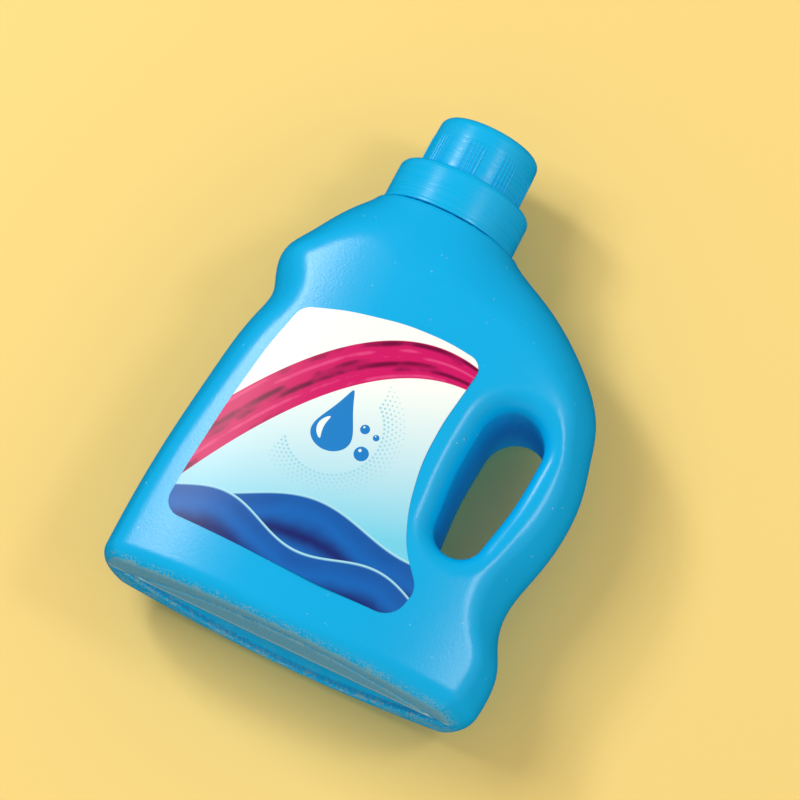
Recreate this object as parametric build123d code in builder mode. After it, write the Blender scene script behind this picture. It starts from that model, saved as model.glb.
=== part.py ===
from build123d import *

import math
import os

# Laundry detergent bottle: a hollow blow-moulded body with a through handle, a pour collar pressed
# on its neck, a screw cap with a loose seal ring, and two labels. Millimetres, +Z up, the handle at +X,
# the front label at -Y. The origin is the middle of the foot, on the surface the bottle stands on.

# Body
BODY_WIDTH = 125.0
BODY_DEPTH = 52.0
SHOULDER_HEIGHT = 139.0
BODY_WALL = 1.2
BODY_POWER = 2.3
FOOT_EDGE_RADIUS = 6.0

# Foot: a narrow groove and a wide hollow in the ground face, with the pinch-off bar between them
FOOT_HOLLOW_DEPTH = 2.0
GROOVE_HALF_LENGTH = 43.0
GROOVE_FRONT = -6.5
BAR_FRONT = -1.5
BAR_BACK = 7.5
HOLLOW_HALF_LENGTH = 46.0
HOLLOW_END = 1.0
HOLLOW_BACK = 16.5

# Handle hole: two rounds of different size, joined by tangent lines
HOLE_LOW_X = 34.0
HOLE_LOW_Z = 51.5
HOLE_LOW_RADIUS = 7.0
HOLE_HIGH_X = 35.6
HOLE_HIGH_Z = 82.6
HOLE_HIGH_RADIUS = 9.2
HOLE_RIM_RADIUS = 7.0

# Neck
NECK_X = -15.2
NECK_RADIUS = 15.5
NECK_WALL = 1.8
NECK_LENGTH = 12.6

# Pour collar: an outer skirt, a sleeve round the neck, a plug in its bore, the ring that the cap
# screws on, and a spout whose open back lets drips run back into the bottle
COLLAR_RADIUS = 21.8
COLLAR_TOP_RADIUS = 21.2
COLLAR_GAP = 0.4
COLLAR_HEIGHT = 14.2
COLLAR_WALL = 1.4
COLLAR_EDGE_RADIUS = 3.6
COLLAR_FIT = 0.05
SLEEVE_LENGTH = 9.0
PLUG_DEPTH = 6.0
RING_RADIUS = 14.6
RING_HEIGHT = 11.4
SPOUT_RADIUS = 9.0
SPOUT_WALL = 1.0
SPOUT_HEIGHT = 12.0
SPOUT_TILT = 20.0
SPOUT_SLOT = 7.0

# Cap and its seal: the seal rests on the ring's rim, under the step of the cap's bore
CAP_RADIUS = 16.8
CAP_TOP_RADIUS = 16.3
CAP_EDGE_RADIUS = 5.5
CAP_CROWN = 5.3
CAP_WALL = 1.5
CAP_SEAT_DEPTH = 0.6
CAP_GAP = 0.3
DOSE_RADIUS = 12.6
DOSE_CORNER = 3.0
SEAL_THICKNESS = 1.0
SEAL_GAP = 0.1

# Labels
LABEL_THICKNESS = 0.2
BACK_LABEL_WIDTH = 60.0
BACK_LABEL_HEIGHT = 68.0
BACK_LABEL_X = -14.0
BACK_LABEL_Z = 54.0
BACK_LABEL_CORNER = 5.0

# The body's levels: the height as a share of the shoulder's, then how far the left edge, the right
# edge and the faces stand out from the collar (0) to the widest point (1), and the oval's squareness
LEVELS = [
    (0.000, 0.97, 0.96, 1.00, 1.00),
    (0.100, 1.00, 1.00, 1.00, 1.00),
    (0.195, 0.99, 0.94, 1.00, 1.00),
    (0.290, 0.95, 0.88, 1.00, 1.00),
    (0.405, 0.89, 0.92, 1.00, 1.00),
    (0.530, 0.79, 0.96, 1.00, 1.00),
    (0.630, 0.70, 0.94, 1.00, 1.00),
    (0.705, 0.65, 0.89, 1.00, 1.00),
    (0.785, 0.77, 0.78, 1.00, 1.00),
    (0.840, 0.66, 0.64, 0.92, 0.95),
    (0.900, 0.45, 0.45, 0.65, 0.75),
    (0.955, 0.23, 0.22, 0.30, 0.45),
    (1.000, 0.00, 0.00, 0.00, 0.00),
]
OVAL_POINTS = 36

neck_axis = Axis((NECK_X, 0, 0), (0, 0, 1))
neck_section = Plane(origin=(NECK_X, 0, 0), x_dir=(1, 0, 0), z_dir=(0, -1, 0))
neck_bore = NECK_RADIUS - NECK_WALL
neck_top = SHOULDER_HEIGHT + NECK_LENGTH
collar_base = SHOULDER_HEIGHT + COLLAR_GAP
collar_deck = collar_base + COLLAR_HEIGHT
cap_seat = collar_deck - CAP_SEAT_DEPTH
ring_top = collar_deck + RING_HEIGHT
seal_base = ring_top + SEAL_GAP
seal_step = seal_base + SEAL_THICKNESS + SEAL_GAP
cap_bore = CAP_RADIUS - CAP_WALL


def level(index, inset):
    """One level of the body: its height, centre x, half width, half depth and power."""
    share, left, right, face, square = LEVELS[index]
    left_edge = NECK_X - COLLAR_RADIUS
    right_edge = NECK_X + COLLAR_RADIUS
    low = left_edge - left * (BODY_WIDTH / 2 + left_edge) + inset
    high = right_edge + right * (BODY_WIDTH / 2 - right_edge) - inset
    half_depth = COLLAR_RADIUS + face * (BODY_DEPTH / 2 - COLLAR_RADIUS) - inset
    power = 2 + square * (BODY_POWER - 2)
    return share * SHOULDER_HEIGHT, (low + high) / 2, (high - low) / 2, half_depth, power


def oval(half_width, half_depth, power):
    """Points round a squared oval about the origin, counter-clockwise from +X."""
    points = []
    for step in range(OVAL_POINTS):
        angle = 2 * math.pi * step / OVAL_POINTS
        c, s = math.cos(angle), math.sin(angle)
        x = half_width * math.copysign(abs(c) ** (2 / power), c)
        y = half_depth * math.copysign(abs(s) ** (2 / power), s)
        points.append((x, y))
    return points


def body_form(inset):
    """The body up to its shoulder as a solid, or with an inset the room inside its wall."""
    with BuildPart() as form:
        for index in range(len(LEVELS)):
            height, centre, half_width, half_depth, power = level(index, inset)
            height = min(max(height, inset), SHOULDER_HEIGHT - inset)
            with BuildSketch(Plane((centre, 0, height))):
                with BuildLine():
                    Spline(*oval(half_width, half_depth, power), periodic=True)
                make_face()
        loft()
        fillet(form.faces().sort_by(Axis.Z)[0].edges(), FOOT_EDGE_RADIUS - inset)
        with BuildSketch(Plane.XZ):
            with Locations((HOLE_LOW_X, HOLE_LOW_Z)):
                Circle(HOLE_LOW_RADIUS + inset)
            with Locations((HOLE_HIGH_X, HOLE_HIGH_Z)):
                Circle(HOLE_HIGH_RADIUS + inset)
            make_hull()
        extrude(amount=BODY_DEPTH, both=True, mode=Mode.SUBTRACT)
        rims = form.edges(Select.LAST).filter_by(lambda e: abs(e.center().Y) > BODY_DEPTH / 8)
        fillet(rims, HOLE_RIM_RADIUS - inset)
    return form.part


def foot_hollows(growth):
    """The groove and the hollow of the foot, from the ground face up, grown by a wall's thickness."""
    with BuildPart() as hollows:
        with BuildSketch(Plane.XY):
            with BuildLine():
                groove_start = (-GROOVE_HALF_LENGTH, BAR_FRONT)
                groove = ThreePointArc(groove_start, (0, GROOVE_FRONT), (GROOVE_HALF_LENGTH, BAR_FRONT))
                Line(groove @ 1, groove @ 0)
            make_face()
            with BuildLine():
                hollow_start = (-HOLLOW_HALF_LENGTH, HOLLOW_END)
                bar = ThreePointArc(hollow_start, (0, BAR_BACK), (HOLLOW_HALF_LENGTH, HOLLOW_END))
                ThreePointArc(bar @ 1, (0, HOLLOW_BACK), bar @ 0)
            make_face()
            if growth:
                offset(amount=growth)
        extrude(amount=FOOT_HOLLOW_DEPTH + growth)
    return hollows.part


body_outside = body_form(0)
body_room = body_form(BODY_WALL)
label_skin = body_form(-LABEL_THICKNESS)

# The body, with its neck and its hollow section
with BuildPart() as bottle_body:
    add(body_outside)
    with BuildSketch(Plane((NECK_X, 0, SHOULDER_HEIGHT - BODY_WALL))):
        Circle(NECK_RADIUS)
    extrude(amount=NECK_LENGTH + BODY_WALL)
    add(foot_hollows(0), mode=Mode.SUBTRACT)
    add(body_room - foot_hollows(BODY_WALL), mode=Mode.SUBTRACT)
    with BuildSketch(Plane((NECK_X, 0, neck_top))):
        Circle(neck_bore)
    extrude(amount=-NECK_LENGTH - 2 * BODY_WALL, mode=Mode.SUBTRACT)

bottle_body.part.label = "bottle_body"

# The pour collar
with BuildPart() as pour_collar:
    with BuildSketch(neck_section):
        with BuildLine():
            skirt_top = collar_deck - COLLAR_EDGE_RADIUS
            deck_edge = COLLAR_TOP_RADIUS - COLLAR_EDGE_RADIUS
            inner_radius = COLLAR_EDGE_RADIUS - COLLAR_WALL
            seat_radius = CAP_RADIUS + CAP_GAP
            sleeve_bore = NECK_RADIUS + COLLAR_FIT
            sleeve_radius = sleeve_bore + COLLAR_WALL
            plug_radius = neck_bore - COLLAR_FIT
            ring_bore = RING_RADIUS - COLLAR_WALL
            deck_below = collar_deck - COLLAR_WALL
            outside = Polyline(
                (COLLAR_RADIUS - COLLAR_WALL, collar_base),
                (COLLAR_RADIUS, collar_base),
                (COLLAR_TOP_RADIUS, skirt_top),
            )
            shoulder = RadiusArc(outside @ 1, (deck_edge, collar_deck), -COLLAR_EDGE_RADIUS)
            middle = Polyline(
                shoulder @ 1,
                (seat_radius, collar_deck),
                (seat_radius, cap_seat),
                (RING_RADIUS, cap_seat),
                (RING_RADIUS, ring_top),
                (ring_bore, ring_top),
                (ring_bore, neck_top),
                (plug_radius - COLLAR_WALL, neck_top - PLUG_DEPTH),
                (plug_radius, neck_top - PLUG_DEPTH),
                (plug_radius, neck_top),
                (sleeve_bore, neck_top),
                (sleeve_bore, neck_top - SLEEVE_LENGTH),
                (sleeve_radius, neck_top - SLEEVE_LENGTH),
                (sleeve_radius, deck_below),
                (deck_edge, deck_below),
            )
            RadiusArc(middle @ 1, (COLLAR_TOP_RADIUS - COLLAR_WALL, skirt_top), inner_radius)
            Line((COLLAR_TOP_RADIUS - COLLAR_WALL, skirt_top), outside @ 0)
        make_face()
    revolve(axis=neck_axis)
    # the floor between the plug and the spout
    floor_base = neck_top - PLUG_DEPTH
    with BuildSketch(Plane((NECK_X, 0, floor_base))):
        Circle(plug_radius - COLLAR_WALL / 2)
        Circle(SPOUT_RADIUS - SPOUT_WALL / 2, mode=Mode.SUBTRACT)
    extrude(amount=COLLAR_WALL)
    with BuildSketch(Plane((NECK_X, 0, floor_base))):
        Circle(SPOUT_RADIUS)
        Circle(SPOUT_RADIUS - SPOUT_WALL, mode=Mode.SUBTRACT)
    extrude(amount=SPOUT_HEIGHT + collar_deck - floor_base)
    lip = Plane((NECK_X - SPOUT_RADIUS, 0, collar_deck + SPOUT_HEIGHT)).rotated((0, SPOUT_TILT, 0))
    with BuildSketch(lip):
        Rectangle(4 * SPOUT_RADIUS, 2 * RING_RADIUS)
    extrude(amount=SPOUT_HEIGHT, mode=Mode.SUBTRACT)
    with BuildSketch(Plane((NECK_X, 0, floor_base + COLLAR_WALL))):
        with Locations((SPOUT_RADIUS, 0)):
            Rectangle(SPOUT_RADIUS, SPOUT_SLOT)
    extrude(amount=2 * SPOUT_HEIGHT, mode=Mode.SUBTRACT)

pour_collar.part.label = "pour_collar"

# The seal ring, a loose washer in the cap's bore that lifts with the cap and needn't turn with it
with BuildPart() as seal_ring:
    with BuildSketch(Plane((NECK_X, 0, seal_base))):
        Circle(cap_bore - SEAL_GAP)
        Circle(DOSE_RADIUS, mode=Mode.SUBTRACT)
    extrude(amount=SEAL_THICKNESS)

seal_ring.part.label = "seal_ring"

# The screw cap: a skirt round the ring, and a dosing cup above the step that holds the seal
with BuildPart() as screw_cap:
    cap_base = cap_seat + CAP_GAP
    cap_top = seal_step + CAP_CROWN
    cap_roof = cap_top - CAP_WALL
    with BuildSketch(neck_section):
        with BuildLine():
            roof = Line((0, cap_roof), (DOSE_RADIUS - DOSE_CORNER, cap_roof))
            corner = RadiusArc(roof @ 1, (DOSE_RADIUS, cap_roof - DOSE_CORNER), DOSE_CORNER)
            skirt = Polyline(
                corner @ 1,
                (DOSE_RADIUS, seal_step),
                (cap_bore, seal_step),
                (cap_bore, cap_base),
                (CAP_RADIUS, cap_base),
                (CAP_TOP_RADIUS, cap_top - CAP_EDGE_RADIUS),
            )
            crown = RadiusArc(skirt @ 1, (CAP_TOP_RADIUS - CAP_EDGE_RADIUS, cap_top), -CAP_EDGE_RADIUS)
            Polyline(crown @ 1, (0, cap_top), roof @ 0)
        make_face()
    revolve(axis=neck_axis)

screw_cap.part.label = "screw_cap"

# The front label: a leaning panel that curves in beside the handle hole
with BuildPart() as front_label:
    with BuildSketch(Plane.XZ):
        with BuildLine():
            left = ThreePointArc((-48.0, 19.0), (-45.6, 50.0), (-39.5, 84.0))
            upper_left = ThreePointArc(left @ 1, (-37.8, 88.6), (-34.0, 91.0))
            top = ThreePointArc(upper_left @ 1, (-10.0, 97.8), (13.5, 99.2))
            upper_right = ThreePointArc(top @ 1, (16.7, 97.6), (17.4, 93.4))
            right = Spline(upper_right @ 1, (15.2, 66.0), (19.8, 42.8), (29.0, 28.0))
            lower_right = ThreePointArc(right @ 1, (29.6, 20.4), (24.0, 15.6))
            bottom = Line(lower_right @ 1, (-43.0, 14.6))
            ThreePointArc(bottom @ 1, (-46.8, 15.4), left @ 0)
        make_face()
    extrude(amount=BODY_DEPTH)
    add(label_skin, mode=Mode.INTERSECT)
    add(body_outside, mode=Mode.SUBTRACT)

front_label.part.label = "front_label"

# The back label
with BuildPart() as back_label:
    with BuildSketch(Plane.XZ):
        with Locations((BACK_LABEL_X, BACK_LABEL_Z)):
            RectangleRounded(BACK_LABEL_WIDTH, BACK_LABEL_HEIGHT, BACK_LABEL_CORNER)
    extrude(amount=-BODY_DEPTH)
    add(label_skin, mode=Mode.INTERSECT)
    add(body_outside, mode=Mode.SUBTRACT)

back_label.part.label = "back_label"

os.makedirs("parts", exist_ok=True)
export_step(bottle_body.part, "parts/bottle_body.step")
export_step(pour_collar.part, "parts/pour_collar.step")
export_step(seal_ring.part, "parts/seal_ring.step")
export_step(screw_cap.part, "parts/screw_cap.step")
export_step(front_label.part, "parts/front_label.step")
export_step(back_label.part, "parts/back_label.step")
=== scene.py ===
"""Laundry detergent bottle: the looks of its blow-moulded body, its closure and its labels."""

import logging
import math
from dataclasses import dataclass
from enum import Enum

import bmesh
import bpy
import numpy as np
from mathutils import Matrix, Vector


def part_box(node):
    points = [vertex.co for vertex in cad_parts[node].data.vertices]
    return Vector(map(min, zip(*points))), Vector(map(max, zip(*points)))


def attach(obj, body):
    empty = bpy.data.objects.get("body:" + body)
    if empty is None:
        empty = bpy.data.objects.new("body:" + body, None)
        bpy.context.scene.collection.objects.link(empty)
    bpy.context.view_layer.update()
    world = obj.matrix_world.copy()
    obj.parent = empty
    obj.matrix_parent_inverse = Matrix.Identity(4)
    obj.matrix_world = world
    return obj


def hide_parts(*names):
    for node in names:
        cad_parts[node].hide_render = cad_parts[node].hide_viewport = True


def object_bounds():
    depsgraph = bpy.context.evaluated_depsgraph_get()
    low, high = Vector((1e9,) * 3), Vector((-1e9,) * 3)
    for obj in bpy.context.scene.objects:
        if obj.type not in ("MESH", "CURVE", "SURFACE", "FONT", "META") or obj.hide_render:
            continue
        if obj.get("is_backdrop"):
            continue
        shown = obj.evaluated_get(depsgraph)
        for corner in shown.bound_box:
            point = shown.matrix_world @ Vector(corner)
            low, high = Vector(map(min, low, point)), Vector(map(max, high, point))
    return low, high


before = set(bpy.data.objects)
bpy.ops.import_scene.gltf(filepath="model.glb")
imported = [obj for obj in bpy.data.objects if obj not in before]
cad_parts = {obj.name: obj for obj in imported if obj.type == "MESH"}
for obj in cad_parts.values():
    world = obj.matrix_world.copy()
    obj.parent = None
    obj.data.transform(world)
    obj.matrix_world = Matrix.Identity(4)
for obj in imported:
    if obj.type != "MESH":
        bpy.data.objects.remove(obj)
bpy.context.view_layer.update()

MM = 0.001
COLLAR_GAP = 0.4  # between the shoulder and the collar, in millimetres
CAP_GAP = 0.3  # between the cap's rim and its seat, and as much below the deck
SEAL_GAP = 0.1  # between the screw ring's rim and the seal
log = logging.getLogger("bottle")

Points = list[tuple[float, float]]


class Body(str, Enum):
    """The moving bodies of the frame."""

    BOTTLE = "bottle"
    SEAL = "seal"
    CAP = "cap"


# ---------------------------------------------------------------- small tools


def linear(code: str) -> tuple[float, float, float, float]:
    """Turns an sRGB hex colour into linear light.

    Args:
        code: The colour as six hex digits.

    Returns:
        Red, green, blue and alpha, linear.
    """
    channels = []
    for start in (0, 2, 4):
        value = int(code[start:start + 2], 16) / 255
        channels.append(value / 12.92 if value <= 0.04045 else ((value + 0.055) / 1.055) ** 2.4)
    return (channels[0], channels[1], channels[2], 1.0)


def add_node(tree: bpy.types.NodeTree, kind: str, settings: dict | None = None,
             links: dict | None = None) -> bpy.types.Node:
    """Adds a node to a tree.

    Args:
        tree: The node tree.
        kind: The node's type name.
        settings: Values by name: a property of the node, or else an input socket (name or number).
        links: Output sockets by the input (name or number) that they feed.

    Returns:
        The new node.
    """
    node = tree.nodes.new(kind)
    for name, value in (settings or {}).items():
        if isinstance(name, str) and name in node.bl_rna.properties:
            setattr(node, name, value)
        else:
            node.inputs[name].default_value = value
    for name, socket in (links or {}).items():
        tree.links.new(socket, node.inputs[name])
    return node


def math_chain(tree: bpy.types.NodeTree, start: bpy.types.NodeSocket, *steps: tuple) -> bpy.types.NodeSocket:
    """Feeds a value through math steps.

    Args:
        tree: The node tree.
        start: The first value.
        steps: Pairs of an operation's name and its second value, a number or a socket.

    Returns:
        The last value.
    """
    value = start
    for operation, other in steps:
        settings = {"operation": operation}
        sources = {0: value}
        if isinstance(other, (int, float)):
            settings[1] = other
        elif other is not None:
            sources[1] = other
        value = add_node(tree, "ShaderNodeMath", settings, sources).outputs[0]
    return value


def fade(tree: bpy.types.NodeTree, value: bpy.types.NodeSocket, start: float, end: float,
         low: float = 0.0, high: float = 1.0) -> bpy.types.NodeSocket:
    """Maps a value from one range to another, held at both ends.

    Args:
        tree: The node tree.
        value: The value.
        start: Where its range begins.
        end: Where its range ends.
        low: What the start becomes.
        high: What the end becomes.

    Returns:
        The mapped value.
    """
    return add_node(tree, "ShaderNodeMapRange", {1: start, 2: end, 3: low, 4: high}, {0: value}).outputs[0]


def paint(tree: bpy.types.NodeTree, under: bpy.types.NodeSocket, ink: str | bpy.types.NodeSocket,
          cover: bpy.types.NodeSocket) -> bpy.types.NodeSocket:
    """Lays an ink over a colour.

    Args:
        tree: The node tree.
        under: The colour below.
        ink: The ink, a hex colour or a socket.
        cover: The mask, 1 where the ink covers.

    Returns:
        The colour with the ink on it.
    """
    settings = {"data_type": "RGBA"}
    sources = {0: cover, 6: under}
    if isinstance(ink, str):
        settings[7] = linear(ink)
    else:
        sources[7] = ink
    return add_node(tree, "ShaderNodeMix", settings, sources).outputs[2]


def flat_colour(tree: bpy.types.NodeTree, code: str) -> bpy.types.NodeSocket:
    """A hex colour as a socket."""
    colour = add_node(tree, "ShaderNodeRGB").outputs[0]
    colour.default_value = linear(code)
    return colour


def noise(tree: bpy.types.NodeTree, place: bpy.types.NodeSocket, scale: float,
          detail: float) -> bpy.types.NodeSocket:
    """A soft noise.

    Args:
        tree: The node tree.
        place: The places.
        scale: How many grains there are to one unit of the places.
        detail: How many finer layers it has.

    Returns:
        The noise's value.
    """
    settings = {"Scale": scale, "Detail": detail}
    return add_node(tree, "ShaderNodeTexNoise", settings, {"Vector": place}).outputs[0]


def roughen(tree: bpy.types.NodeTree, shader: bpy.types.Node, height: bpy.types.NodeSocket,
            strength: float, depth: float) -> None:
    """Gives a shader a fine relief.

    Args:
        tree: The node tree.
        shader: The shader's node.
        height: The relief.
        strength: How much of it shows.
        depth: Its depth in millimetres.
    """
    settings = {"Strength": strength, "Distance": depth * MM}
    bump = add_node(tree, "ShaderNodeBump", settings, {"Height": height})
    tree.links.new(bump.outputs[0], shader.inputs["Normal"])


def repeat(name: str, inputs: dict, grow, material: bpy.types.Material) -> bpy.types.Object:
    """Runs a Geometry Nodes tree once and keeps its result as a plain mesh.

    Args:
        name: The piece's name.
        inputs: The tree's named inputs: a socket type and a value for each.
        grow: A function that takes the tree and the inputs' sockets by name, and returns the instances.
        material: The finish that the tree sets.

    Returns:
        The finished object, with no modifier left on it.
    """
    tree = bpy.data.node_groups.new(name, "GeometryNodeTree")
    tree.is_modifier = True
    result = tree.interface.new_socket(name="Geometry", in_out="OUTPUT", socket_type="NodeSocketGeometry")
    sockets = {}
    for label, (kind, _) in inputs.items():
        sockets[label] = tree.interface.new_socket(name=label, in_out="INPUT", socket_type=kind)
    source = add_node(tree, "NodeGroupInput")
    instances = grow(tree, {label: source.outputs[label] for label in inputs})
    real = add_node(tree, "GeometryNodeRealizeInstances", {}, {0: instances})
    dressed = add_node(tree, "GeometryNodeSetMaterial", {"Material": material}, {0: real.outputs[0]})
    add_node(tree, "NodeGroupOutput", {}, {result.name: dressed.outputs[0]})
    made = bpy.data.objects.new(name, bpy.data.meshes.new(name))
    bpy.context.scene.collection.objects.link(made)
    modifier = made.modifiers.new(name, "NODES")
    modifier.node_group = tree
    for label, (_, value) in inputs.items():
        modifier[sockets[label].identifier] = value
    graph = bpy.context.evaluated_depsgraph_get()
    plain = bpy.data.meshes.new_from_object(made.evaluated_get(graph))
    made.modifiers.clear()
    made.data = plain
    return made


def make_object(name: str, verts: list, faces: list, sharp: float = 40.0) -> bpy.types.Object:
    """Makes a smooth-shaded mesh object from points in millimetres.

    Args:
        name: The piece's name.
        verts: Its points.
        faces: Its faces, as lists of point numbers.
        sharp: Edges that turn by more than this, in degrees, stay sharp.

    Returns:
        The object, at the origin.
    """
    mesh = bpy.data.meshes.new(name)
    mesh.from_pydata((np.asarray(verts, float) * MM).tolist(), [], faces)
    mesh.validate()
    mesh.shade_smooth()
    mesh.set_sharp_from_angle(angle=math.radians(sharp))
    made = bpy.data.objects.new(name, mesh)
    bpy.context.scene.collection.objects.link(made)
    return made


def tidy_mesh(made: bpy.types.Object, merge: float = 0.001) -> None:
    """Merges doubled points and turns every face outwards.

    Args:
        made: The object.
        merge: Points nearer than this, in millimetres, become one.
    """
    work = bmesh.new()
    work.from_mesh(made.data)
    bmesh.ops.remove_doubles(work, verts=work.verts, dist=merge * MM)
    bmesh.ops.recalc_face_normals(work, faces=work.faces)
    work.to_mesh(made.data)
    work.free()


def rounded(corners: list[tuple[float, float, float]], steps: int = 5) -> Points:
    """Rounds the corners of a closed outline.

    Args:
        corners: Each corner's place and its radius.
        steps: Points along each rounding.

    Returns:
        The outline's points.
    """
    points = []
    for index, (r, z, radius) in enumerate(corners):
        here = Vector((r, z))
        before = Vector(corners[index - 1][:2]) - here
        after = Vector(corners[(index + 1) % len(corners)][:2]) - here
        if radius <= 0:
            points.append((r, z))
            continue
        half = before.angle(after) / 2
        reach = min(radius / math.tan(half), 0.49 * before.length, 0.49 * after.length)
        start = here + before.normalized() * reach
        end = here + after.normalized() * reach
        centre = here + (before.normalized() + after.normalized()).normalized() * (reach / math.cos(half))
        for step in range(steps + 1):
            share = step / steps
            spoke = (start - centre).lerp(end - centre, share).normalized() * (start - centre).length
            points.append(tuple(centre + spoke))
    return points


def lathe(name: str, outline: Points, centre_x: float, segments: int = 144) -> bpy.types.Object:
    """Turns a closed outline of radius and height round the neck's axis.

    Args:
        name: The piece's name.
        outline: Points of radius and height.
        centre_x: The axis' place along X.
        segments: Steps round the axis.

    Returns:
        The closed, outward-facing piece.
    """
    verts = []
    faces = []
    count = len(outline)
    for turn in range(segments):
        angle = 2 * math.pi * turn / segments
        for r, z in outline:
            verts.append((centre_x + r * math.cos(angle), r * math.sin(angle), z))
    for turn in range(segments):
        here = turn * count
        there = ((turn + 1) % segments) * count
        for index in range(count):
            after = (index + 1) % count
            faces.append((here + index, there + index, there + after, here + after))
    made = make_object(name, verts, faces)
    tidy_mesh(made)
    return made


def helix_ridge(centre_x: float, root: float, crest: float, base: float, start: float, turn: float,
                lead: float, width: float) -> tuple[list, list]:
    """Points and faces of one right-hand thread start, with run-outs at both ends.

    Args:
        centre_x: The axis' place along X.
        root: Radius that the ridge stands on.
        crest: Radius of its crest.
        base: Height of its start.
        start: Angle of its start.
        turn: How far it goes round.
        lead: Rise in one turn.
        width: Width at the root.

    Returns:
        The points and the faces.
    """
    section = [(0.0, -0.5), (1.0, -0.2), (1.0, 0.2), (0.0, 0.5), (-0.3, 0.5), (-0.3, -0.5)]
    steps = int(turn / math.radians(4))
    verts = []
    faces = []
    for step in range(steps + 1):
        share = step / steps
        angle = start + turn * share
        run_out = min(1.0, 8 * share, 8 * (1 - share)) * 0.97 + 0.03
        for out, across in section:
            r = root + (crest - root) * (out * run_out if out > 0 else out)
            z = base + lead * (angle - start) / (2 * math.pi) + across * width
            verts.append((centre_x + r * math.cos(angle), r * math.sin(angle), z))
    size = len(section)
    for step in range(steps):
        for index in range(size):
            after = (index + 1) % size
            low = step * size
            faces.append((low + index, low + after, low + size + after, low + size + index))
    faces.append(tuple(range(size)))
    faces.append(tuple(steps * size + index for index in reversed(range(size))))
    return verts, faces


def finish_piece(made: bpy.types.Object, body: Body, slot: str, material: bpy.types.Material,
                 *nodes: str) -> None:
    """Dresses a piece and hands it to the frame.

    Args:
        made: The piece.
        body: The body that it rides on.
        slot: Not used.
        material: Its finish.
        nodes: The frame's nodes that it stands for.
    """
    if not made.data.materials:
        made.data.materials.append(material)
    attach(made, body.value)
    if nodes:
        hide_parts(*nodes)
    log.info("%s: %d faces, on %s", made.name, len(made.data.polygons), body.value)


# ---------------------------------------------------------------- the blown form


class Edge:
    """One side of the front outline: a natural cubic spline of X over height."""

    def __init__(self, points: Points) -> None:
        """Fits the spline.

        Args:
            points: Height and X, upwards.
        """
        self.z = np.array([p[0] for p in points], float)
        self.x = np.array([p[1] for p in points], float)
        count = len(points)
        step = np.diff(self.z)
        system = np.eye(count)
        right = np.zeros(count)
        for i in range(1, count - 1):
            system[i, i - 1:i + 2] = (step[i - 1], 2 * (step[i - 1] + step[i]), step[i])
            slopes = np.diff(self.x[i - 1:i + 2]) / step[i - 1:i + 1]
            right[i] = 6 * (slopes[1] - slopes[0])
        self.bend = np.linalg.solve(system, right)

    def at(self, z: np.ndarray) -> np.ndarray:
        """X at each height.

        Args:
            z: The heights.

        Returns:
            The edge's X.
        """
        i = np.clip(np.searchsorted(self.z, z) - 1, 0, len(self.z) - 2)
        h = self.z[i + 1] - self.z[i]
        a = (self.z[i + 1] - z) / h
        b = 1 - a
        curve = (a ** 3 - a) * self.bend[i] + (b ** 3 - b) * self.bend[i + 1]
        return a * self.x[i] + b * self.x[i + 1] + curve * h * h / 6


def round_join(first: np.ndarray, second: np.ndarray, radius: float) -> np.ndarray:
    """The distance to what two forms share, with their edge rounded.

    Args:
        first: Distances to one form.
        second: Distances to the other.
        radius: The rounding's radius.

    Returns:
        The joined distances.
    """
    a = np.maximum(first + radius, 0)
    b = np.maximum(second + radius, 0)
    return np.minimum(-radius, np.maximum(first, second)) + np.hypot(a, b)


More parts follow.
